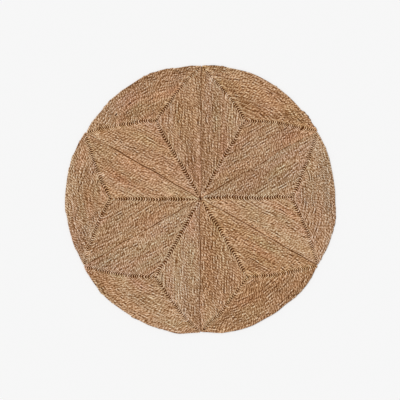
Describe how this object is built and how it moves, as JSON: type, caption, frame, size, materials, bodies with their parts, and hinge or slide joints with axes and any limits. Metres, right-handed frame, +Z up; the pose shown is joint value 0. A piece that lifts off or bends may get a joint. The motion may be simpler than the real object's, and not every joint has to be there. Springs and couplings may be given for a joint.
{
  "type": "round straw rug",
  "caption": "Flat round rug of coiled straw cord in wedge-shaped panels sewn edge to edge, whose mitred turns draw a star; lies on a floor as a floor covering.",
  "frame": {"origin": "centre of the underside, on the floor under the middle of the rug's box", "axes": "+Z up from the floor through the rug; +X along the middle line of the first panel; +Y to its left"},
  "size_m": [1.4968, 1.4918, 0.007],
  "materials": {
    "straw_cord": "matte twisted two-ply straw cord"
  },
  "bodies": {
    "root": {"panel_1": "straw_cord", "panel_2": "straw_cord", "panel_3": "straw_cord", "panel_4": "straw_cord", "panel_5": "straw_cord", "panel_6": "straw_cord"}
  },
  "joints": []
}
